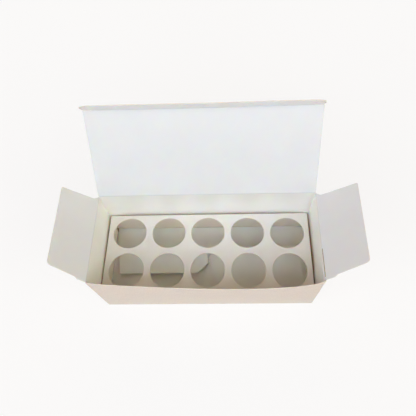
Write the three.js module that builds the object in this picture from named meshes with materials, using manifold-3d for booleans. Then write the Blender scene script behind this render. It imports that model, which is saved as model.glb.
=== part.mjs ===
// Tuck-top carton with a crash-lock bottom and a die-cut tray for ten small vials.
// Millimetres, +Z up, +X to the right, front at -Y; the origin is the middle of the base.
// The carton is one glued sheet of board. Its lid, tuck flap and dust flaps turn on creases,
// so each of them is a mesh of its own; the walls, glue flap and bottom are one folded body.

import * as THREE from 'three';
import { mergeVertices } from 'three/addons/utils/BufferGeometryUtils.js';
import Module from 'manifold-3d';

const wasm = await Module();
wasm.setup();

// Carton
const cartonWidth = 140;
const cartonDepth = 58;
const cartonHeight = 51.5;
const boardThickness = 0.4;
const creaseGap = 0.3;
const wallCornerRadius = 0.7;
const frontBowDepth = 4.3;
const frontBowSkew = 0.45;
const frontBowFullness = 0.6;
const frontBowSegments = 28;

// Glue flap, folded from the front wall and stuck inside the right wall
const glueFlapWidth = 15;
const glueFlapTaper = 3;
const glueFlapDrop = 2.2;
const glueBite = 0.1;

// Lid and tuck flap
const lidSideInset = 0.4;
const lidLeanBack = 32.5;
const lidCornerRadius = 0.8;
const tuckDepth = 15;
const tuckBend = 62;
const tuckSideInset = 1;
const tuckCornerRadius = 9;
const slitLockLength = 6;
const slitLockHeight = 1.2;

// Dust flaps
const dustFlapLength = 26.5;
const rightFlapRise = 38;
const leftFlapRise = 47;
const dustShoulderLength = 5.8;
const dustShoulderStep = 1.9;
const dustShoulderTaper = 0.6;
const dustShoulderRadius = 0.8;
const dustFrontTaper = 3.2;
const dustBackSetBack = 2.2;
const dustNotchLength = 3;
const dustCornerRadius = 2.5;

// Crash-lock bottom
const lockShiftX = -0.2;
const lockShiftY = 2;
const lockReach = 10;
const lockDiagonalRun = 8;
const lockThroatDepth = 2;
const lockThroatRadius = 0.6;
const lockSlotHalfWidth = 0.3;
const lockSlotFront = 1.2;
const lockSlotBack = 0.4;
const lockNoseRun = 6.4;
const lockNoseRise = 3;
const mainFlapEndTaper = 4.5;
const mainFlapSideGap = 2.5;
const mainFlapCornerRadius = 1;
const shortHalfCut = 25;
const shortHalfSide = 20;
const shortHalfTaper = 1;
const lockFirstRise = 1.15;
const lockFirstRiseLength = 2;
const lockTipRise = 3.6;
const lockTwistFar = 5;
const lockTwistNear = 0.6;
const lockCrowding = 1.7;
const lockSideSteps = 13;
const lockFrontSteps = 5;
const lockBackSteps = 8;
const endFlapDepth = 28.6;
const endFlapNose = 20;
const endFlapSlant = 6.4;
const endFlapCornerCut = 4;
const endFlapCornerRadius = 1.5;
const endFlapBackGap = 1;
const endFlapFrontGap = 3;
const endFlapNoseGap = 5;

// Vial tray
const vialDiameter = 22;
const vialClearance = 0.6;
const vialColumns = 5;
const vialRows = 2;
const sideWebShare = 5 / 6;
const frontWebShare = 1.045;
const backWebShare = 0.5;
const trayTop = 23;
const traySideGap = 1.2;
const trayBackGap = 0.4;
const trayFootGap = 0.3;
const trayLegEndTaper = 2;
const trayLegCornerRadius = 1;

// Values that follow from the sizes above
const halfWidth = cartonWidth / 2;
const halfDepth = cartonDepth / 2;
const innerHalfWidth = halfWidth - boardThickness;
const innerHalfDepth = halfDepth - boardThickness;
const sideRim = cartonHeight - boardThickness - creaseGap;
const dustAxisHeight = cartonHeight - boardThickness / 2;
const lidAxisHeight = cartonHeight + creaseGap + boardThickness / 2;
const lidAxisY = halfDepth - boardThickness / 2;
const lidLength = lidAxisY + innerHalfDepth - creaseGap;
const tuckHalfWidth = halfWidth - tuckSideInset;
const endRadius = boardThickness / 2;
const cutMargin = 1;
const flapSpan = Math.max(halfDepth - lockShiftY, halfDepth + lockShiftY) + lockReach;
const lockDiagonalRise = lockReach - lockThroatDepth;
const glueFlapFoot = 3 * boardThickness;
const trayHalfWidth = innerHalfWidth - traySideGap;
const trayHalfDepth = innerHalfDepth - trayBackGap;

const degrees = Math.PI / 180;

// Solids
function toSolid(geometry) {
  const bare = geometry.clone();
  bare.deleteAttribute('normal');
  bare.deleteAttribute('uv');
  const merged = mergeVertices(bare, 1e-4);
  const vertProperties = new Float32Array(merged.attributes.position.array);
  const triVerts = new Uint32Array(merged.index.array);
  return new wasm.Manifold(new wasm.Mesh({ numProp: 3, vertProperties, triVerts }));
}

function toGeometry(solid) {
  const mesh = solid.getMesh();
  const geometry = new THREE.BufferGeometry();
  geometry.setAttribute('position', new THREE.BufferAttribute(mesh.vertProperties, 3));
  geometry.setIndex(new THREE.BufferAttribute(mesh.triVerts, 1));
  geometry.computeVertexNormals();
  return geometry;
}

function joinSolids(solids) {
  return solids.reduce((whole, next) => whole.add(next));
}

// An outline from corners { x, y, r }; a corner with a radius r is rounded
function roundedOutline(corners) {
  const shape = new THREE.Shape();
  corners.forEach((corner, index) => {
    const here = new THREE.Vector2(corner.x, corner.y);
    const before = corners[(index + corners.length - 1) % corners.length];
    const after = corners[(index + 1) % corners.length];
    const radius = corner.r ?? 0;
    const start = new THREE.Vector2(before.x, before.y).sub(here).setLength(radius).add(here);
    const end = new THREE.Vector2(after.x, after.y).sub(here).setLength(radius).add(here);
    if (index === 0) shape.moveTo(start.x, start.y);
    else shape.lineTo(start.x, start.y);
    if (radius > 0) shape.quadraticCurveTo(here.x, here.y, end.x, end.y);
  });
  return shape;
}

// A flat panel of board in the XY plane with its middle layer at z = 0
function boardPanel(outline, curveSegments = 6) {
  const settings = { depth: boardThickness, bevelEnabled: false, curveSegments };
  const geometry = new THREE.ExtrudeGeometry(outline, settings);
  geometry.translate(0, 0, -boardThickness / 2);
  return geometry;
}

function boxBetween(low, high) {
  const size = high.map((value, axis) => value - low[axis]);
  const geometry = new THREE.BoxGeometry(...size);
  geometry.translate(...high.map((value, axis) => (value + low[axis]) / 2));
  return geometry;
}

// Walls
// How far the front rim has sprung outwards at x; the bottom edge stays straight
function frontBow(x) {
  const along = THREE.MathUtils.clamp(x / innerHalfWidth, -1, 1);
  return frontBowDepth * Math.pow(1 - along * along, frontBowFullness) * (1 + frontBowSkew * along);
}

function makeFrontWall() {
  const width = halfWidth + innerHalfWidth + glueBite;
  const wall = new THREE.BoxGeometry(width, boardThickness, cartonHeight, frontBowSegments, 1, 1);
  wall.translate(width / 2 - halfWidth, -halfDepth + boardThickness / 2, cartonHeight / 2);
  const position = wall.attributes.position;
  for (let i = 0; i < position.count; i += 1) {
    const share = position.getZ(i) / cartonHeight;
    position.setY(i, position.getY(i) - frontBow(position.getX(i)) * share);
  }
  return toSolid(wall);
}

// Left, back and right walls as one bent strip with rounded folds at the back corners;
// the right wall ends in a raw edge over the fold of the glue flap
function makeOtherWalls() {
  const innerRadius = wallCornerRadius - boardThickness;
  const rawEdge = -halfDepth + boardThickness / 2;
  const section = roundedOutline([
    { x: -halfWidth, y: -halfDepth },
    { x: -innerHalfWidth, y: -halfDepth },
    { x: -innerHalfWidth, y: innerHalfDepth, r: innerRadius },
    { x: innerHalfWidth, y: innerHalfDepth, r: innerRadius },
    { x: innerHalfWidth, y: rawEdge },
    { x: halfWidth, y: rawEdge },
    { x: halfWidth, y: halfDepth, r: wallCornerRadius },
    { x: -halfWidth, y: halfDepth, r: wallCornerRadius },
  ]);
  const settings = { depth: cartonHeight, bevelEnabled: false, curveSegments: 5 };
  return toSolid(new THREE.ExtrudeGeometry(section, settings));
}

// The side walls end one board and a crease below the rim, so the dust flaps fold in flush
function makeSideRimCut(side) {
  const inner = side * (innerHalfWidth - glueFlapTaper);
  const outer = side * (halfWidth + cutMargin);
  const low = [Math.min(inner, outer), -innerHalfDepth, sideRim];
  const high = [Math.max(inner, outer), innerHalfDepth, cartonHeight + cutMargin];
  return toSolid(boxBetween(low, high));
}

// Outline in the wall's own plane: distance from the front corner, and height
function makeGlueFlap() {
  const outline = roundedOutline([
    { x: 0, y: glueFlapFoot },
    { x: glueFlapWidth, y: glueFlapTaper },
    { x: glueFlapWidth, y: cartonHeight - glueFlapDrop },
    { x: 0, y: cartonHeight - glueFlapDrop - glueFlapTaper / 2 },
  ]);
  const geometry = boardPanel(outline);
  geometry.rotateX(Math.PI / 2);
  geometry.rotateZ(Math.PI / 2);
  geometry.translate(innerHalfWidth - boardThickness / 2 + glueBite, -innerHalfDepth - glueBite, 0);
  return toSolid(geometry);
}

// Bottom
// A main flap in the frame of the lock's centre: its fold lies at +y, its long half at -x.
// The long half hooks over the other main flap, its short half tucks under that flap's hook.
function mainFlapOutline(foldY) {
  const side = halfWidth - mainFlapSideGap;
  return roundedOutline([
    { x: -side, y: foldY },
    { x: -side + mainFlapEndTaper, y: -lockReach, r: mainFlapCornerRadius },
    { x: -lockDiagonalRun, y: -lockReach },
    { x: 0, y: -lockThroatDepth, r: lockThroatRadius },
    { x: -lockSlotHalfWidth, y: -lockSlotFront },
    { x: -lockSlotHalfWidth, y: lockSlotBack },
    { x: lockNoseRun, y: lockNoseRise },
    { x: halfWidth - shortHalfCut, y: 0 },
    { x: side - shortHalfTaper, y: foldY - shortHalfSide },
    { x: side, y: foldY },
  ]);
}

// Height of a main flap above the base, from its distance to the fold and its place
// along the line on which the two flaps pass through each other
function mainFlapLift(fromFold, x, y) {
  const alongLock = (x * lockDiagonalRun + y * lockDiagonalRise)
    / Math.hypot(lockDiagonalRun, lockDiagonalRise);
  const onTop = 1 - THREE.MathUtils.smoothstep(alongLock, -lockTwistFar, lockTwistNear);
  const first = Math.min(fromFold / lockFirstRiseLength, 1) * lockFirstRise;
  const rest = Math.max(fromFold - lockFirstRiseLength, 0) / (flapSpan - lockFirstRiseLength);
  return onTop * (first + rest * (lockTipRise - lockFirstRise));
}

// Places from 0 to reach that lie closer together near 0, where the flaps cross
function crowdedPlaces(reach, count) {
  return Array.from({ length: count + 1 }, (_, i) => reach * Math.pow(i / count, lockCrowding));
}

// A sheet bent along a grid that is finest at the lock, then cut to its outline
function makeMainFlap(foldY, turned) {
  const side = crowdedPlaces(halfWidth, lockSideSteps);
  const columns = [...side.slice(1).reverse().map((x) => -x), ...side];
  const front = crowdedPlaces(lockReach + cutMargin, lockFrontSteps)
    .slice(1)
    .reverse()
    .map((y) => -y);
  const back = crowdedPlaces(foldY - lockFirstRiseLength, lockBackSteps);
  const rows = [...front, ...back, foldY];
  const sheet = new THREE.BoxGeometry(1, 1, boardThickness, columns.length - 1, rows.length - 1, 1);
  const position = sheet.attributes.position;
  for (let i = 0; i < position.count; i += 1) {
    const x = columns[Math.round((position.getX(i) + 0.5) * (columns.length - 1))];
    const y = rows[Math.round((position.getY(i) + 0.5) * (rows.length - 1))];
    const lift = mainFlapLift(foldY - y, x, y);
    position.setXYZ(i, x, y, position.getZ(i) + boardThickness / 2 + lift);
  }
  const settings = { depth: 2 * lockTipRise, bevelEnabled: false, curveSegments: 4 };
  const cutter = new THREE.ExtrudeGeometry(mainFlapOutline(foldY), settings);
  cutter.translate(0, 0, -cutMargin);
  const flap = toSolid(sheet).intersect(toSolid(cutter));
  const turn = turned ? 180 : 0;
  return flap.rotate([0, 0, turn]).translate([lockShiftX, lockShiftY, 0]);
}

// An end flap folded in from a side wall, with the corner that is glued to the main flap
function makeEndFlap(side) {
  const fold = halfWidth - boardThickness / 2;
  const edge = halfWidth - endFlapDepth;
  const cutY = innerHalfDepth - endFlapSlant;
  const r = endFlapCornerRadius;
  const outline = roundedOutline([
    { x: fold, y: innerHalfDepth - endFlapBackGap },
    { x: edge + endFlapCornerCut, y: cutY, r },
    { x: edge, y: cutY - endFlapCornerCut, r },
    { x: edge, y: lockShiftY, r },
    { x: edge + endFlapNose, y: -innerHalfDepth + endFlapNoseGap, r },
    { x: fold, y: -innerHalfDepth + endFlapFrontGap },
  ]);
  const geometry = boardPanel(outline);
  geometry.translate(0, 0, boardThickness * 1.5 - glueBite);
  if (side < 0) geometry.rotateZ(Math.PI);
  return toSolid(geometry);
}

function makeCartonBody() {
  const walls = joinSolids([makeFrontWall(), makeOtherWalls()]);
  const backFlap = makeMainFlap(halfDepth - lockShiftY - glueBite, false);
  const frontFlap = makeMainFlap(halfDepth + lockShiftY - glueBite, true);
  const folded = joinSolids([
    walls, makeGlueFlap(), backFlap, frontFlap, makeEndFlap(1), makeEndFlap(-1),
  ]);
  const cut = folded.subtract(makeSideRimCut(1)).subtract(makeSideRimCut(-1));
  return toGeometry(cut);
}

// Lid and flaps, each in a frame whose origin lies on its crease
function makeLid() {
  const edge = halfWidth - lidSideInset;
  const end = lidLength - creaseGap - endRadius;
  return boardPanel(roundedOutline([
    { x: -edge, y: 0 },
    { x: edge, y: 0 },
    { x: edge, y: end, r: lidCornerRadius },
    { x: -edge, y: end, r: lidCornerRadius },
  ]));
}

// The ears beyond the crease start lower: that slot takes the dust flaps' shoulders
function makeTuckFlap() {
  const earStart = halfWidth - slitLockLength;
  return boardPanel(roundedOutline([
    { x: -earStart, y: 0 },
    { x: earStart, y: 0 },
    { x: earStart, y: slitLockHeight },
    { x: tuckHalfWidth, y: slitLockHeight },
    { x: tuckHalfWidth, y: tuckDepth, r: tuckCornerRadius },
    { x: -tuckHalfWidth, y: tuckDepth, r: tuckCornerRadius },
    { x: -tuckHalfWidth, y: slitLockHeight },
    { x: -earStart, y: slitLockHeight },
  ]), 12);
}

function makeDustFlap(side) {
  const front = -innerHalfDepth + creaseGap;
  const back = -front;
  const stepY = front + dustShoulderStep;
  const corners = [
    { x: 0, y: front },
    { x: dustShoulderLength, y: front + dustShoulderTaper },
    { x: dustShoulderLength + dustShoulderStep, y: stepY, r: dustShoulderRadius },
    { x: dustFlapLength, y: stepY + dustFrontTaper, r: dustCornerRadius },
    { x: dustFlapLength, y: back - dustBackSetBack, r: dustCornerRadius / 3 },
    { x: dustNotchLength, y: back - dustBackSetBack, r: dustNotchLength / 3 },
    { x: 0, y: back },
  ];
  const placed = corners.map((corner) => ({ ...corner, x: corner.x * side }));
  return boardPanel(roundedOutline(side > 0 ? placed : placed.reverse()));
}

// Tray
// The board left over between the holes is shared out in webs; the outer webs are given
// as shares of a middle one
function makeVialHoles() {
  const hole = vialDiameter + vialClearance;
  const spareX = 2 * trayHalfWidth - vialColumns * hole;
  const spareY = 2 * trayHalfDepth - vialRows * hole;
  const webX = spareX / (vialColumns - 1 + 2 * sideWebShare);
  const webY = spareY / (vialRows - 1 + frontWebShare + backWebShare);
  const firstX = -trayHalfWidth + webX * sideWebShare + hole / 2;
  const firstY = -trayHalfDepth + webY * frontWebShare + hole / 2;
  const holes = [];
  for (let row = 0; row < vialRows; row += 1) {
    for (let column = 0; column < vialColumns; column += 1) {
      const x = firstX + column * (hole + webX);
      const y = firstY + row * (hole + webY);
      holes.push(new THREE.Path().absarc(x, y, hole / 2, 0, 2 * Math.PI, true));
    }
  }
  return holes;
}

// A leg hangs from the top's edge and stands on the carton's bottom
function makeTrayLeg(halfLength, legHeight) {
  return boardPanel(roundedOutline([
    { x: -halfLength, y: 0 },
    { x: -halfLength + trayLegEndTaper, y: -legHeight, r: trayLegCornerRadius },
    { x: halfLength - trayLegEndTaper, y: -legHeight, r: trayLegCornerRadius },
    { x: halfLength, y: 0 },
  ])).rotateX(Math.PI / 2);
}

function makeTray() {
  const top = roundedOutline([
    { x: -trayHalfWidth, y: -trayHalfDepth },
    { x: trayHalfWidth, y: -trayHalfDepth },
    { x: trayHalfWidth, y: trayHalfDepth },
    { x: -trayHalfWidth, y: trayHalfDepth },
  ]);
  top.holes.push(...makeVialHoles());
  const settings = { depth: boardThickness, bevelEnabled: false, curveSegments: 20 };
  const panel = new THREE.ExtrudeGeometry(top, settings);
  panel.translate(0, 0, trayTop - boardThickness);
  const foot = boardThickness + lockFirstRise + trayFootGap;
  const legHeight = trayTop - foot - boardThickness / 2;
  const legTop = trayTop - boardThickness / 2;
  const legs = [1, -1].flatMap((side) => {
    const across = makeTrayLeg(trayHalfWidth - 2 * boardThickness, legHeight);
    across.translate(0, side * (trayHalfDepth - boardThickness / 2), legTop);
    const along = makeTrayLeg(trayHalfDepth - 2 * boardThickness, legHeight);
    along.rotateZ(Math.PI / 2);
    along.translate(side * (trayHalfWidth - boardThickness / 2), 0, legTop);
    return [toSolid(across), toSolid(along)];
  });
  return toGeometry(joinSolids([toSolid(panel), ...legs]));
}

// Materials
const coatedWhite = { color: 0xe4e5e3, roughness: 0.45, metalness: 0 };
const warmWhite = { color: 0xe2dccf, roughness: 0.5, metalness: 0 };

function namedMesh(name, geometry, look) {
  const mesh = new THREE.Mesh(geometry, new THREE.MeshStandardMaterial(look));
  mesh.name = name;
  return mesh;
}

// Assembly
const box = new THREE.Group();

box.add(namedMesh('carton_body', makeCartonBody(), warmWhite));
box.add(namedMesh('vial_tray', makeTray(), warmWhite));

const lidFrame = new THREE.Group();
lidFrame.position.set(0, lidAxisY, lidAxisHeight);
lidFrame.rotation.x = Math.PI / 2 - lidLeanBack * degrees;
lidFrame.add(namedMesh('lid', makeLid(), coatedWhite));
box.add(lidFrame);

const tuckFrame = new THREE.Group();
tuckFrame.position.y = lidLength;
tuckFrame.rotation.x = tuckBend * degrees;
tuckFrame.add(namedMesh('tuck_flap', makeTuckFlap(), coatedWhite));
lidFrame.add(tuckFrame);

const dustFlaps = [
  { name: 'dust_flap_right', side: 1, rise: rightFlapRise },
  { name: 'dust_flap_left', side: -1, rise: leftFlapRise },
];
for (const { name, side, rise } of dustFlaps) {
  const frame = new THREE.Group();
  frame.position.set(side * (halfWidth - boardThickness / 2), 0, dustAxisHeight);
  frame.rotation.y = -side * rise * degrees;
  frame.add(namedMesh(name, makeDustFlap(side), coatedWhite));
  box.add(frame);
}

export default box;
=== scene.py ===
import math
import bpy
import bmesh
from mathutils import Matrix, Vector, noise


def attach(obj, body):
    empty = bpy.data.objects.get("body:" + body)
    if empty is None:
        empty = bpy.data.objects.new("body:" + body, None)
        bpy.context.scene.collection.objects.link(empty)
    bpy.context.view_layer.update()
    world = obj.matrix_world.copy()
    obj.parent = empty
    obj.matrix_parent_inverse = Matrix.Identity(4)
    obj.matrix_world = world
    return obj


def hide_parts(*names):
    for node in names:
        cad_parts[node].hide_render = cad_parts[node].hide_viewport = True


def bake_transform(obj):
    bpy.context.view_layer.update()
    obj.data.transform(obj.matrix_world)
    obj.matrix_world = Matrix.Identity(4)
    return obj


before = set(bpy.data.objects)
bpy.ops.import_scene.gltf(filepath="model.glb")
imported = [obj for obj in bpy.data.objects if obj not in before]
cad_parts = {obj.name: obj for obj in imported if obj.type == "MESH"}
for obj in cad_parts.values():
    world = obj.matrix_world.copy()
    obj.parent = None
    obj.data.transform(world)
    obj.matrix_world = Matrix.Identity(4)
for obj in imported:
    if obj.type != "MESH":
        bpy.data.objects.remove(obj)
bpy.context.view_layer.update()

mm = 0.001

# sizes that several panels share, in mm
carton = {
    "halfWidth": 70,
    "halfDepth": 29,
    "height": 51.5,
    "board": 0.4,
    "sideRim": 50.8,
    "foldRadius": 0.45,
    "waveLength": 45,
    "leftSpread": 1.4,
    "leftPinch": 0.3,
    "leftSpreadFrom": 27,
    "leftSpreadTo": 69,
}
midX = carton["halfWidth"] - carton["board"] / 2
midY = carton["halfDepth"] - carton["board"] / 2

# where a piece's materials stand in its list, after the white side
printSide = 1
cutEdge = 2
crackedFold = 3


def hexColour(text):
    channels = [int(text[i:i + 2], 16) / 255 for i in (1, 3, 5)]
    linear = [c / 12.92 if c <= 0.04045 else ((c + 0.055) / 1.055) ** 2.4 for c in channels]
    return (*linear, 1.0)


def addNode(tree, kind, settings=None, links=None):
    # settings name an attribute or an input socket, links name an input socket
    node = tree.nodes.new(kind)
    for name, value in (settings or {}).items():
        if name in node.inputs:
            node.inputs[name].default_value = value
        else:
            setattr(node, name, value)
    for name, source in (links or {}).items():
        tree.links.new(source, node.inputs[name])
    return node


# a noise texture stays mostly between these two values
noiseSpan = {"From Min": 0.3, "From Max": 0.7}
glossSpread = 0.04


def boardMaterial(name, look):
    material = bpy.data.materials.new(name)
    material.use_nodes = True
    tree = material.node_tree
    tree.nodes.clear()
    output = addNode(tree, "ShaderNodeOutputMaterial")
    # the UV map holds the flat blank in centimetres, so a pattern of n mm has a scale of 10 / n
    flat = addNode(tree, "ShaderNodeUVMap", {"uv_map": "blank"})
    stretch = addNode(tree, "ShaderNodeMapping", {"Scale": look["grainStretch"]},
                      {"Vector": flat.outputs["UV"]})
    cloud = addNode(tree, "ShaderNodeTexNoise", {"Scale": 10 / look["cloudMm"], "Detail": 2.0},
                    {"Vector": flat.outputs["UV"]})
    grain = addNode(tree, "ShaderNodeTexNoise", {"Scale": 10 / look["grainMm"], "Detail": 4.0},
                    {"Vector": stretch.outputs["Vector"]})
    tone = addNode(tree, "ShaderNodeMath", {"operation": "MULTIPLY"})
    # both patterns darken the board three times as much as they lighten it
    for socket, (pattern, depth) in enumerate(((cloud, look["cloudDepth"]),
                                               (grain, look["grainDepth"]))):
        shade = addNode(tree, "ShaderNodeMapRange", {
            **noiseSpan, "To Min": 1 - depth, "To Max": 1 + depth / 3,
        }, {"Value": pattern.outputs["Fac"]})
        tree.links.new(shade.outputs["Result"], tone.inputs[socket])
    colour = addNode(tree, "ShaderNodeVectorMath", {"operation": "SCALE"},
                     {"Scale": tone.outputs["Value"]})
    colour.inputs[0].default_value = hexColour(look["colour"])[:3]
    bump = addNode(tree, "ShaderNodeBump", {
        "Strength": look["bumpStrength"], "Distance": look["bumpHeightMm"] * mm,
    }, {"Height": grain.outputs["Fac"]})
    gloss = addNode(tree, "ShaderNodeMapRange", {
        **noiseSpan,
        "To Min": look["roughness"] - glossSpread, "To Max": look["roughness"] + glossSpread,
    }, {"Value": cloud.outputs["Fac"]})
    shader = addNode(tree, "ShaderNodeBsdfPrincipled", {
        "IOR": 1.5, "Specular IOR Level": look["specular"],
        "Coat Weight": look["coat"], "Coat Roughness": look["coatRoughness"],
        "Subsurface Weight": look["glow"], "Subsurface Scale": look["glowDepthMm"] * mm,
        "Subsurface Radius": (1.0, 0.55, 0.25),
    }, {
        "Base Color": colour.outputs["Vector"],
        "Roughness": gloss.outputs["Result"],
        "Normal": bump.outputs["Normal"],
    })
    tree.links.new(shader.outputs["BSDF"], output.inputs["Surface"])
    return material


boardLooks = {
    # clay-coated side: smooth and softly shiny, with barely visible clouds in the coating
    "clay-coated white board": {
        "colour": "#f9f2e6", "roughness": 0.4, "specular": 0.5,
        "coat": 1.0, "coatRoughness": 0.2, "glow": 0.6, "glowDepthMm": 0.8,
        "cloudMm": 20, "cloudDepth": 0.012,
        "grainMm": 0.3333, "grainDepth": 0.012, "grainStretch": (1.0, 1.0, 1.0),
        "bumpStrength": 0.2, "bumpHeightMm": 0.01,
    },
    # the same coating on the lid and flaps, painted greyer and darker: painted shade that tones
    # down how brightly they are lit
    "coated board with painted shade": {
        "colour": "#e0ded5", "roughness": 0.4, "specular": 0.5,
        "coat": 1.0, "coatRoughness": 0.2, "glow": 0.6, "glowDepthMm": 0.8,
        "cloudMm": 20, "cloudDepth": 0.015,
        "grainMm": 0.3333, "grainDepth": 0.012, "grainStretch": (1.0, 1.0, 1.0),
        "bumpStrength": 0.2, "bumpHeightMm": 0.01,
    },
    # the insert is cut from a creamier uncoated board: matt, with a little more mottle
    "uncoated cream insert board": {
        "colour": "#f3e9db", "roughness": 0.5, "specular": 0.4,
        "coat": 0.0, "coatRoughness": 0.3, "glow": 0.6, "glowDepthMm": 0.8,
        "cloudMm": 14.29, "cloudDepth": 0.02,
        "grainMm": 0.3846, "grainDepth": 0.02, "grainStretch": (1.0, 1.0, 1.0),
        "bumpStrength": 0.3, "bumpHeightMm": 0.015,
    },
    # its back has no white top layer, so it is warmer and tints the light under the tray
    "bare back of the insert board": {
        "colour": "#f6e6cf", "roughness": 0.7, "specular": 0.3,
        "coat": 0.0, "coatRoughness": 0.3, "glow": 0.6, "glowDepthMm": 0.8,
        "cloudMm": 14.29, "cloudDepth": 0.03,
        "grainMm": 0.3846, "grainDepth": 0.04, "grainStretch": (1.0, 1.0, 1.0),
        "bumpStrength": 0.3, "bumpHeightMm": 0.015,
    },
    # outside: a flat pale peach print with the board's fine upright grain showing through
    "offset-printed peach board": {
        "colour": "#d6c6b2", "roughness": 0.5, "specular": 0.4,
        "coat": 0.1, "coatRoughness": 0.3, "glow": 0.6, "glowDepthMm": 0.8,
        "cloudMm": 16.67, "cloudDepth": 0.015,
        "grainMm": 1.111, "grainDepth": 0.1, "grainStretch": (3.0, 0.25, 1.0),
        "bumpStrength": 0.3, "bumpHeightMm": 0.012,
    },
    # die-cut edge: torn white fibres, matt, so every cut shows as a thin pale line
    "die-cut board edge": {
        "colour": "#ecdfcd", "roughness": 0.8, "specular": 0.2,
        "coat": 0.0, "coatRoughness": 0.3, "glow": 0.6, "glowDepthMm": 0.8,
        "cloudMm": 2.5, "cloudDepth": 0.03,
        "grainMm": 0.1667, "grainDepth": 0.05, "grainStretch": (1.0, 1.0, 1.0),
        "bumpStrength": 0.4, "bumpHeightMm": 0.02,
    },
    # coating cracked along a crease: the brown core shows as a thin worn line
    "cracked crease": {
        "colour": "#b79a6c", "roughness": 0.9, "specular": 0.2,
        "coat": 0.0, "coatRoughness": 0.3, "glow": 0.3, "glowDepthMm": 0.3,
        "cloudMm": 1.667, "cloudDepth": 0.3,
        "grainMm": 0.1667, "grainDepth": 0.2, "grainStretch": (1.0, 1.0, 1.0),
        "bumpStrength": 0.4, "bumpHeightMm": 0.03,
    },
}
boards = {name: boardMaterial(name, look) for name, look in boardLooks.items()}
cartonSides = [
    "clay-coated white board", "offset-printed peach board", "die-cut board edge",
    "cracked crease",
]
# the lid, tuck and dust flaps take the coating with painted shade
lidSides = ["coated board with painted shade"] + cartonSides[1:]
traySides = ["uncoated cream insert board", "bare back of the insert board", "die-cut board edge"]
print("scene: board materials made")


def roundedOutline(corners, steps=8):
    # corners are (x, y) or (x, y, radius), counterclockwise seen from the white side
    points = []
    for index, corner in enumerate(corners):
        here = Vector(corner[:2])
        if len(corner) < 3:
            points.append(here)
            continue
        radius = corner[2]
        before = (Vector(corners[index - 1][:2]) - here).normalized() * radius + here
        after = (Vector(corners[(index + 1) % len(corners)][:2]) - here).normalized()
        after = after * radius + here
        for step in range(steps + 1):
            t = step / steps
            points.append(before * (1 - t) ** 2 + here * 2 * t * (1 - t) + after * t ** 2)
    return points


def cutBlank(corners, holes=(), lip=0):
    # a flat blank with its white side up; holes are (x, y, radius, oval), each with a lip
    blank = bmesh.new()
    verts = [blank.verts.new((p.x, p.y, 0)) for p in roundedOutline(corners)]
    for vert, after in zip(verts, verts[1:] + verts[:1]):
        blank.edges.new((vert, after))
    rings = []
    for x, y, radius, oval in holes:
        place = Matrix.Translation((x, y, 0)) @ Matrix.Diagonal((1, oval, 1, 1))
        ring = bmesh.ops.create_circle(blank, cap_ends=False, segments=72, radius=radius + lip,
                                       matrix=place)
        rings.append([edge for edge in blank.edges if edge.verts[0] in ring["verts"]])
    bmesh.ops.triangle_fill(blank, use_beauty=True, edges=blank.edges[:], normal=(0, 0, 1))
    for (x, y, radius, oval), ring in zip(holes, rings):
        inner = bmesh.ops.extrude_edge_only(blank, edges=ring)["geom"]
        for face in (item for item in inner if isinstance(item, bmesh.types.BMFace)):
            face.material_index = cutEdge
        verts = [item for item in inner if isinstance(item, bmesh.types.BMVert)]
        shrink = Vector((radius / (radius + lip), radius / (radius + lip), 1))
        bmesh.ops.scale(blank, vec=shrink, space=Matrix.Translation((-x, -y, 0)), verts=verts)
    for face in blank.faces:
        if face.normal.z < 0:
            face.normal_flip()
    return blank


def addLines(blank, axis, places):
    # edges right across the blank, where it bends
    normal = (1, 0, 0) if axis == "x" else (0, 1, 0)
    for place in places:
        geom = blank.verts[:] + blank.edges[:] + blank.faces[:]
        middle = (place, place, 0)
        bmesh.ops.bisect_plane(blank, geom=geom, dist=1e-4, plane_co=middle, plane_no=normal)


def evenPlaces(low, high, step):
    count = max(1, math.ceil((high - low) / step))
    return [low + (high - low) * i / count for i in range(count + 1)]


def smoothStep(value, low, high):
    t = max(0, min(1, (value - low) / (high - low)))
    return t * t * (3 - 2 * t)


def warp(x, y, size, seed):
    # board is never quite flat: a slow wave of the given height in mm
    length = carton["waveLength"]
    return size * noise.noise(Vector((x / length, y / length, seed)))


def leftPush(x, y):
    # the tray's front left corner is jammed outwards, and the wall gives way there
    forward = (midY - y) / (2 * midY)
    push = carton["leftSpread"] * forward - carton["leftPinch"] * (1 - forward)
    return -push * smoothStep(-x, carton["leftSpreadFrom"], carton["leftSpreadTo"])


def foldBoard(name, blank, place, sides, flip=False):
    # keep the flat layout as the UV map, fold the blank up, and give it the board's thickness
    layer = blank.loops.layers.uv.new("blank")
    for face in blank.faces:
        for loop in face.loops:
            loop[layer].uv = (loop.vert.co.x / 10, loop.vert.co.y / 10)
    for vert in blank.verts:
        vert.co = Vector(place(vert.co.x, vert.co.y)) * mm
    if flip:
        bmesh.ops.reverse_faces(blank, faces=blank.faces[:])
    mesh = bpy.data.meshes.new(name)
    blank.to_mesh(mesh)
    blank.free()
    piece = bpy.data.objects.new(name, mesh)
    bpy.context.scene.collection.objects.link(piece)
    for side in sides:
        mesh.materials.append(boards[side])
    thick = piece.modifiers.new("board", "SOLIDIFY")
    thick.thickness = carton["board"] * mm
    thick.offset = 0
    thick.use_even_offset = True
    thick.material_offset = printSide
    thick.material_offset_rim = cutEdge
    bpy.context.view_layer.objects.active = piece
    bpy.ops.object.modifier_apply(modifier=thick.name)
    mesh = piece.data
    mesh.polygons.foreach_set("use_smooth", [True] * len(mesh.polygons))
    mesh.set_sharp_from_angle(angle=math.radians(40))
    return piece


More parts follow.
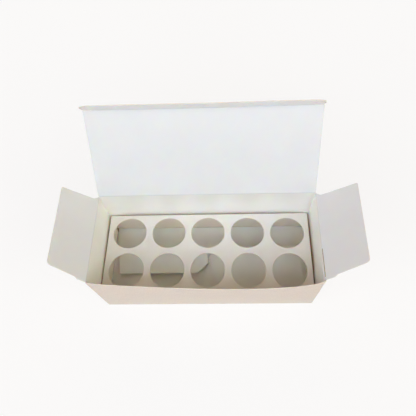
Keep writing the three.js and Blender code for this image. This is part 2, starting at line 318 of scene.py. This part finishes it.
# the walls are one strip: glue flap, front, left, back and right
sleeve = {
    "bowDepth": 4.3,
    "bowSkew": 0.45,
    "bowFullness": 0.6,
    "bowHalfWidth": 69.6,
    "glueFlap": 15,
    "glueFlapTop": (47.8, 49.3),
    "glueFlapBottom": (1.2, 3.0),
    "seamOverlap": 0.1,
    "rimCut": 0.1,
    "cornerSteps": 4,
    "columnStep": 3.5,
    "rowStep": 6,
    "warp": 0.2,
    "warpSeed": 3.1,
    "backBulge": 1.5,
    "backFlatness": 6,
    "sideBulge": 0.15,
    "stiffCorner": 1,
}


def frontBow(x):
    along = max(-1, min(1, x / sleeve["bowHalfWidth"]))
    full = (1 - along * along) ** sleeve["bowFullness"]
    return sleeve["bowDepth"] * full * (1 + sleeve["bowSkew"] * along)


def sleevePath():
    # the folded strip seen from above: each point is (x, y, corner radius, wall that starts there)
    radius = carton["foldRadius"]
    inside = midX - carton["board"]
    return [
        (inside, -midY + sleeve["glueFlap"], 0, "glueFlap"),
        (inside, -midY, radius, "front"),
        (-midX, -midY, radius, "left"),
        (-midX, midY, radius, "back"),
        (midX, midY, radius, "right"),
        (midX, -midY - sleeve["seamOverlap"], 0, "right"),
    ]


def sleeveStations():
    # the place and the wall of every column of the strip
    path = sleevePath()
    steps = sleeve["cornerSteps"]
    stations = []
    for index, (x, y, radius, wall) in enumerate(path):
        here = Vector((x, y))
        if radius == 0:
            stations.append((here, wall))
            continue
        wallBefore = path[index - 1][3]
        towards = (Vector(path[index - 1][:2]) - here).normalized()
        onwards = (Vector(path[index + 1][:2]) - here).normalized()
        centre = here + (towards + onwards) * radius
        for step in range(steps + 1):
            angle = math.pi / 2 * step / steps
            arm = -onwards * math.cos(angle) - towards * math.sin(angle)
            stations.append((centre + arm * radius, wallBefore if step < steps / 2 else wall))
    filled = []
    for (start, wall), (end, wallAfter) in zip(stations, stations[1:]):
        count = math.ceil((end - start).length / sleeve["columnStep"])
        filled += [(start.lerp(end, i / count), wall) for i in range(count)]
    filled.append(stations[-1])
    return filled


def makeSleeve():
    stations = sleeveStations()
    lengths = [0]
    for (start, wall), (end, wallAfter) in zip(stations, stations[1:]):
        lengths.append(lengths[-1] + (end - start).length)
    heights = evenPlaces(0, carton["height"], sleeve["rowStep"])
    columns = len(lengths) - 1
    rows = len(heights) - 1
    blank = bmesh.new()
    bmesh.ops.create_grid(blank, x_segments=columns, y_segments=rows, size=1)
    for vert in blank.verts:
        column = round((vert.co.x + 1) / 2 * columns)
        row = round((vert.co.y + 1) / 2 * rows)
        vert.co = Vector((lengths[column], heights[row], 0))

    def place(length, height):
        spot, wall = stations[min(range(columns + 1), key=lambda i: abs(lengths[i] - length))]
        low, high = 0, carton["height"]
        if wall == "glueFlap":
            share = (spot.y + midY) / sleeve["glueFlap"]
            low = sleeve["glueFlapBottom"][0] * (1 - share) + sleeve["glueFlapBottom"][1] * share
            high = sleeve["glueFlapTop"][0] * (1 - share) + sleeve["glueFlapTop"][1] * share
        elif wall in ("left", "right") and abs(spot.y) < midY - sleeve["rimCut"]:
            high = carton["sideRim"]
        z = low + (high - low) * height / carton["height"]
        # the front wall bows out towards its rim, and the others bulge at half their height
        give = math.sin(math.pi * z / carton["height"])
        x, y = spot
        if wall == "front":
            y -= frontBow(spot.x) * z / carton["height"]
        elif wall == "back":
            give *= max(0, 1 - (spot.x / (midX - sleeve["stiffCorner"])) ** sleeve["backFlatness"])
            y += give * (sleeve["backBulge"] + warp(spot.x, z, sleeve["warp"], sleeve["warpSeed"]))
        elif wall in ("left", "right"):
            give *= max(0, 1 - (spot.y / (midY - sleeve["stiffCorner"])) ** 2)
            x += give * math.copysign(sleeve["sideBulge"], spot.x)
        x += leftPush(spot.x, spot.y) * z / carton["height"]
        return x, y, z

    return foldBoard("cartonSleeve", blank, place, cartonSides)


walls = makeSleeve()
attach(walls, "carton")
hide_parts("carton_body")
print("scene: walls folded")


# crash-lock bottom: two hooked main flaps pass through each other over two end flaps
bottom = {
    "lockX": -0.2,
    "lockY": 2,
    "backFold": 26.9,
    "frontFold": 30.9,
    "lockReach": 10,
    "firstRise": 1.15,
    "firstRiseLength": 2,
    "tipRise": 3.6,
    "tipRiseLength": 39,
    "twist": 0.9,
    "twistGrowth": 0.35,
    "endFlapRoot": 69.6,
    "endFlapReach": 28.2,
    "endFlapHeight": 0.5,
    "endFlapLift": 1.7,
}


def makeMainFlap(name, fold, turned):
    reach = bottom["lockReach"]
    corners = [
        (-67.5, fold), (-63, -reach, 1), (-8, -reach), (0.2, -1.8, 1.2), (-0.3, -0.4),
        (-0.3, 0.4), (6.4, 3), (45, 0), (66.5, fold - 20), (67.5, fold),
    ]
    blank = cutBlank(corners)
    # the lines stand closer where the flap twists through the lock
    twistLines = [-6, -4.5, -3.5, -2.5, -1.5, -0.8, 0.6, 1.2, 2.2, 3.5, 5]
    addLines(blank, "x", evenPlaces(-60, -8, 4) + twistLines)
    addLines(blank, "x", evenPlaces(7, 23, 4) + evenPlaces(30, 60, 10))
    addLines(blank, "y", [-8, -6, -4.5, -3, -1.5, 1, 2, 4, 7, 11, 16, 21, fold - 2, fold - 1])
    turn = -1 if turned else 1

    def place(x, y):
        # the hooked half lies on top and rises from the fold to its tip
        spread = bottom["twist"] + bottom["twistGrowth"] * max(y, 0)
        onTop = 1 - smoothStep(x, -spread, spread)
        away = fold - y
        first = bottom["firstRiseLength"]
        rise = min(away / first, 1) * bottom["firstRise"]
        onwards = bottom["tipRise"] - bottom["firstRise"]
        rise += max(away - first, 0) / bottom["tipRiseLength"] * onwards
        z = rise * onTop + carton["board"] / 2
        return bottom["lockX"] + x * turn, bottom["lockY"] + y * turn, z

    return foldBoard(name, blank, place, cartonSides)


def makeEndFlap(name, turned):
    root = bottom["endFlapRoot"]
    nose = root - bottom["endFlapReach"]
    corners = [
        (root, 28.3), (67, 26.8), (45.4, 22, 1.5), (nose, 18, 1.5),
        (nose, 2, 1.5), (61.4, -23.6, 1.5), (root, -25.6),
    ]
    blank = cutBlank(corners)
    addLines(blank, "x", [46, 52, 58, 64])
    turn = -1 if turned else 1

    def place(x, y):
        lift = bottom["endFlapLift"] * (root - x) / bottom["endFlapReach"]
        return x * turn, y * turn, bottom["endFlapHeight"] + lift

    return foldBoard(name, blank, place, cartonSides)


bottomFlaps = [
    makeMainFlap("backMainFlap", bottom["backFold"], False),
    makeMainFlap("frontMainFlap", bottom["frontFold"], True),
    makeEndFlap("rightEndFlap", False),
    makeEndFlap("leftEndFlap", True),
]
for flap in bottomFlaps:
    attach(flap, "carton")
print("scene: bottom locked")


# the tray stands on four legs folded down from its edges
tray = {
    "midHeight": 22.8,
    "halfWidth": 68.2,
    "halfDepth": 28.0,
    "footHeight": 1.15,
    "legInset": 0.3,
    "legEndTaper": 2,
    "legCornerRadius": 1,
    "cornerReach": 0.33,
    "foldRadius": 0.4,
    "holeRadius": 11.3,
    "columns": 5,
    "pitch": 26.8,
    "rows": {"front": -12.0, "back": 14.6},
    "rowMiddle": 1.2,
    "oval": {"front": 1.05, "back": 0.97},
    "rowDrift": 1.2,
    "lipWidth": 0.3,
    "lipHeight": 0.12,
    "warp": 0.25,
    "warpSeed": 7.7,
}


def pastFold(distance, radius):
    # how far along and how far down a point lies, for its distance past the start of a fold
    turned = min(max(distance / radius, 0), math.pi / 2)
    rest = distance - turned * radius
    along = radius * math.sin(turned) + rest * math.cos(turned)
    down = radius * (1 - math.cos(turned)) + rest * math.sin(turned)
    return along, down


def foldLines(start, radius):
    lines = [start + place for place in evenPlaces(0, radius * math.pi / 2, radius * 0.4)]
    return lines + [-line for line in lines]


def trayHoles():
    # both rows drift forwards to the right and look oval, as the card isn't quite flat
    holes = []
    for name, row in tray["rows"].items():
        for column in range(tray["columns"]):
            x = (column - (tray["columns"] - 1) / 2) * tray["pitch"]
            y = row - tray["rowDrift"] * (column / (tray["columns"] - 1)) ** 2
            holes.append((x, y, tray["holeRadius"], tray["oval"][name]))
    return holes


def makeTray():
    radius = tray["foldRadius"]
    foldX = tray["halfWidth"] - radius
    foldY = tray["halfDepth"] - radius
    leg = radius * math.pi / 2 + tray["midHeight"] - radius - tray["footHeight"]
    legX = foldX - tray["legInset"]
    legY = foldY - tray["legInset"]
    taper = tray["legEndTaper"]
    corner = tray["cornerReach"]
    quarter = [
        (foldX + leg, legY - taper, tray["legCornerRadius"]), (foldX + 2 * corner, legY),
        (foldX + corner, foldY + corner), (legX, foldY + 2 * corner),
        (legX - taper, foldY + leg, tray["legCornerRadius"]),
    ]
    left = [(-point[0], *point[1:]) for point in reversed(quarter)]
    upper = quarter + left
    lower = [(-point[0], -point[1], *point[2:]) for point in upper]
    holes = trayHoles()
    blank = cutBlank(upper + lower, holes, tray["lipWidth"])
    webs = [(column - tray["columns"] / 2) * tray["pitch"] for column in range(1, tray["columns"])]
    addLines(blank, "x", foldLines(foldX, radius) + webs)
    addLines(blank, "y", foldLines(foldY, radius) + [tray["rowMiddle"]])

    def place(x, y):
        sideX = math.copysign(1, x)
        sideY = math.copysign(1, y)
        alongX, downX = pastFold(abs(x) - foldX, radius)
        alongY, downY = pastFold(abs(y) - foldY, radius)
        px = sideX * (foldX + alongX) if abs(x) > foldX else x
        py = sideY * (foldY + alongY) if abs(y) > foldY else y
        down = (downX if abs(x) > foldX else 0) + (downY if abs(y) > foldY else 0)
        flat = max(0, 1 - abs(px) / foldX) * max(0, 1 - abs(py) / foldY)
        rise = warp(px, py, tray["warp"], tray["warpSeed"]) * flat
        # the die leaves a raised lip round each hole
        for holeX, holeY, holeRadius, oval in holes:
            if math.hypot(x - holeX, (y - holeY) / oval) < holeRadius + tray["lipWidth"] / 2:
                rise += tray["lipHeight"]
        return px + leftPush(px, py), py, tray["midHeight"] - down + rise

    return foldBoard("vialTray", blank, place, traySides)


insert = makeTray()
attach(insert, "carton")
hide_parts("vial_tray")
print("scene: tray folded")


lid = {
    "halfWidth": 69.6,
    "hingeY": 28.8,
    "hingeZ": 52.0,
    "lean": 32.7,
    "toTuck": 57.1,
    "end": 56.6,
    "cornerRadius": 0.8,
    "slitStart": 64,
    "slitPlay": 0.1,
    "sag": 0.5,
    "sagHalfWidth": 52,
}
tuck = {
    "bend": 62,
    "depth": 15,
    "halfWidth": 69,
    "cornerRadius": 9,
    "slitHeight": 1.2,
}
# each of these panels starts just before its crease, and the lines stand close where it bends
creaseStart = -0.5
creaseLines = [-0.25, 0, 0.25, 0.5]

lidAcross = Vector((0, math.sin(math.radians(lid["lean"])), math.cos(math.radians(lid["lean"]))))
lidInward = Vector((0, -lidAcross.z, lidAcross.y))
tuckAngle = math.radians(90 - lid["lean"] + tuck["bend"])
tuckAcross = Vector((0, math.cos(tuckAngle), math.sin(tuckAngle)))
lidHinge = Vector((0, lid["hingeY"], lid["hingeZ"]))


def lidSag(x, v):
    # the middle of the lid's free edge hangs in slightly
    share = max(0, 1 - (x / lid["sagHalfWidth"]) ** 2) ** 2
    return lid["sag"] * share * (max(v, 0) / lid["toTuck"]) ** 2


def placeOnLid(x, v):
    # v runs up the panel from the hinge line; below it the board is still the back wall's
    if v < 0:
        return Vector((x, lid["hingeY"], lid["hingeZ"] + v))
    return Vector((x, 0, 0)) + lidHinge + lidAcross * v + lidInward * lidSag(x, v)


def makeLid():
    edge = lid["halfWidth"]
    slit = lid["slitStart"]
    tip = lid["toTuck"] + lid["slitPlay"]
    corners = [
        (-edge, creaseStart), (edge, creaseStart), (edge, tip, lid["cornerRadius"]), (slit, tip),
        (slit, lid["end"]), (-slit, lid["end"]), (-slit, tip), (-edge, tip, lid["cornerRadius"]),
    ]
    blank = cutBlank(corners)
    addLines(blank, "x", evenPlaces(-60, 60, 6))
    addLines(blank, "y", creaseLines + [1] + evenPlaces(6, 54, 6))
    return foldBoard("lidPanel", blank, placeOnLid, lidSides)


def makeTuck():
    edge = tuck["halfWidth"]
    slit = lid["slitStart"]
    start = lid["end"] - lid["toTuck"]
    height = tuck["slitHeight"]
    corners = [
        (-slit, start), (slit, start), (slit, height), (edge, height),
        (edge, tuck["depth"], tuck["cornerRadius"]),
        (-edge, tuck["depth"], tuck["cornerRadius"]), (-edge, height), (-slit, height),
    ]
    blank = cutBlank(corners)
    addLines(blank, "x", evenPlaces(-60, 60, 6))
    addLines(blank, "y", creaseLines + [2, 5, 10])

    def place(x, w):
        if w < 0:
            return placeOnLid(x, lid["toTuck"] + w)
        return placeOnLid(x, lid["toTuck"]) + tuckAcross * w

    return foldBoard("tuckFlap", blank, place, lidSides)


dustFlap = {
    "hingeX": 69.8,
    "hingeZ": 51.3,
    "rise": {"right": 38, "left": 47},
    "reach": {"right": 27.3, "left": 26.5},
    "backReach": {"right": 27.3, "left": 25.5},
    "curl": 0.3,
    "pushFade": 0.7,
    "crack": (-26.5, -9),
    "crackHalfWidth": 0.25,
}


def makeDustFlap(name, side, rise):
    turn = 1 if side == "right" else -1
    lean = math.radians(rise)
    reach = dustFlap["reach"][side]
    corners = [
        (creaseStart, -28.3), (0, -28.3), (5.8, -27.7), (7.7, -26.4, 0.8), (reach, -23.2, 2.5),
        (dustFlap["backReach"][side], 26.1, 0.83), (3, 26.1, 1), (0, 28.3), (creaseStart, 28.3),
    ]
    blank = cutBlank(corners)
    addLines(blank, "x", creaseLines + [1, 4, 9, 14, 19, 23])
    addLines(blank, "y", evenPlaces(-24, 24, 6))
    if side == "right":
        # the fold's coating has cracked on this flap
        addLines(blank, "y", dustFlap["crack"])
        for face in blank.faces:
            middle = face.calc_center_median()
            onFold = abs(middle.x) < dustFlap["crackHalfWidth"]
            if onFold and dustFlap["crack"][0] < middle.y < dustFlap["crack"][1]:
                face.material_index = crackedFold

    def place(u, y):
        # the flap's root follows the wall's rim
        push = leftPush(turn * dustFlap["hingeX"], y)
        if u < 0:
            return turn * dustFlap["hingeX"] + push, y, dustFlap["hingeZ"] + u
        push *= 1 - dustFlap["pushFade"] * u / reach
        curl = dustFlap["curl"] * (u / reach) ** 2
        x = dustFlap["hingeX"] + u * math.cos(lean) - curl * math.sin(lean)
        z = dustFlap["hingeZ"] + u * math.sin(lean) + curl * math.cos(lean)
        return turn * x + push, y, z

    return foldBoard(name, blank, place, lidSides, flip=side == "left")


lidPanel = makeLid()
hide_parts("lid")
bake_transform(lidPanel)
tuckFlap = makeTuck()
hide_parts("tuck_flap")
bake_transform(tuckFlap)
for side, sign in (("right", 1), ("left", -1)):
    flap = makeDustFlap(side + "DustFlap", side, dustFlap["rise"][side])
    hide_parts("dust_flap_" + side)
    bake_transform(flap)
print("scene: lid and flaps creased")


studio = {
    "floorSize": 6,
    "floorDrop": 0.1,
    "floorColour": "#f2e7d8",
    "floorWhiteness": 0.8,
    "shadeDrop": 0.05,
    # the brown of the painted shade under the box
    "shadeColour": "#b59a78",
    "skyColour": "#ffd099",
    "skyStrength": 0.19,
}
# a cool window light from the front between two weaker boxes, and a fill behind the open lid
softboxes = {
    "frontSoftbox": {"strength": 1.81, "colour": "#cee0ff", "angle": 50, "rise": 42, "turn": 0},
    "rightSoftbox": {"strength": 1.39, "colour": "#eaf9ff", "angle": 45, "rise": 30, "turn": 60},
    "leftSoftbox": {"strength": 1.59, "colour": "#d7e8ff", "angle": 45, "rise": 30, "turn": -60},
    "rearFill": {"strength": 0.8, "colour": "#fff6ec", "angle": 50, "rise": 26, "turn": 180},
}

# the camera sees the paper nearly white, and everything else sees its own colour
bpy.ops.mesh.primitive_plane_add(size=studio["floorSize"],
                                 location=(0, 0, -studio["floorDrop"] * mm))
floor = bpy.context.active_object
floor.name = "studioFloor"
floorMaterial = bpy.data.materials.new("pale seamless paper")
floorMaterial.use_nodes = True
floorTree = floorMaterial.node_tree
floorTree.nodes.clear()
floorPaper = addNode(floorTree, "ShaderNodeBsdfDiffuse",
                     {"Color": hexColour(studio["floorColour"])})
floorWhite = addNode(floorTree, "ShaderNodeEmission", {"Strength": 1.0})
floorRay = addNode(floorTree, "ShaderNodeLightPath")
floorSeen = addNode(floorTree, "ShaderNodeMath", {"operation": "MULTIPLY"})
floorSeen.inputs[1].default_value = studio["floorWhiteness"]
floorTree.links.new(floorRay.outputs["Is Camera Ray"], floorSeen.inputs[0])
floorMix = addNode(floorTree, "ShaderNodeMixShader", {}, {"Fac": floorSeen.outputs["Value"]})
floorTree.links.new(floorPaper.outputs["BSDF"], floorMix.inputs[1])
floorTree.links.new(floorWhite.outputs["Emission"], floorMix.inputs[2])
floorOutput = addNode(floorTree, "ShaderNodeOutputMaterial")
floorTree.links.new(floorMix.outputs["Shader"], floorOutput.inputs["Surface"])
floor.data.materials.append(floorMaterial)

# right under the box a brown sheet is painted shade on the paper, so no white shows through the
# bottom's gaps
shadeMaterial = bpy.data.materials.new("painted shade on the floor paper")
shadeMaterial.use_nodes = True
shadeMaterial.node_tree.nodes["Principled BSDF"].inputs["Base Color"].default_value = (
    hexColour(studio["shadeColour"]))
bpy.ops.mesh.primitive_plane_add(size=1, location=(0, 0, -studio["shadeDrop"] * mm))
shade = bpy.context.active_object
shade.name = "floorUnderBox"
shade.data.transform(Matrix.Diagonal((2 * midX * mm, 2 * midY * mm, 1, 1)))
shade.data.materials.append(shadeMaterial)

# the sky lights the box warmly, and the camera sees it white
world = bpy.data.worlds.new("softSky")
world.use_nodes = True
sky = world.node_tree.nodes["Background"]
sky.inputs["Color"].default_value = hexColour(studio["skyColour"])
sky.inputs["Strength"].default_value = studio["skyStrength"]
backdrop = addNode(world.node_tree, "ShaderNodeBackground", {"Color": (1, 1, 1, 1)})
worldRay = addNode(world.node_tree, "ShaderNodeLightPath")
worldMix = addNode(world.node_tree, "ShaderNodeMixShader", {},
                   {"Fac": worldRay.outputs["Is Camera Ray"]})
world.node_tree.links.new(sky.outputs["Background"], worldMix.inputs[1])
world.node_tree.links.new(backdrop.outputs["Background"], worldMix.inputs[2])
worldOutput = world.node_tree.nodes["World Output"]
world.node_tree.links.new(worldMix.outputs["Shader"], worldOutput.inputs["Surface"])
bpy.context.scene.world = world

for name, box in softboxes.items():
    softbox = bpy.data.lights.new(name, "SUN")
    softbox.energy = box["strength"]
    softbox.angle = math.radians(box["angle"])
    softbox.color = hexColour(box["colour"])[:3]
    holder = bpy.data.objects.new(name, softbox)
    holder.rotation_euler = (math.radians(90 - box["rise"]), 0, math.radians(box["turn"]))
    bpy.context.scene.collection.objects.link(holder)

# the camera's place in mm and its angles in degrees, fitted to the box's corners in the photo
view = {
    "place": (13.42, -104.06, 303.8),
    "turn": 5.614,
    "tilt": 26.138,
    "roll": -5.975,
    "lens": 38.55,
}
cameraData = bpy.data.cameras.new("photoCamera")
cameraData.lens = view["lens"]
cameraData.sensor_width = 36
cameraData.clip_start = 0.01
camera = bpy.data.objects.new("photoCamera", cameraData)
camera.matrix_world = (
    Matrix.Translation(Vector(view["place"]) * mm)
    @ Matrix.Rotation(math.radians(view["turn"]), 4, "Z")
    @ Matrix.Rotation(math.radians(view["tilt"]), 4, "X")
    @ Matrix.Rotation(math.radians(view["roll"]), 4, "Z")
)
bpy.context.scene.collection.objects.link(camera)
bpy.context.scene.camera = camera
bpy.context.scene.view_settings.view_transform = "Standard"
print("scene: studio lit")
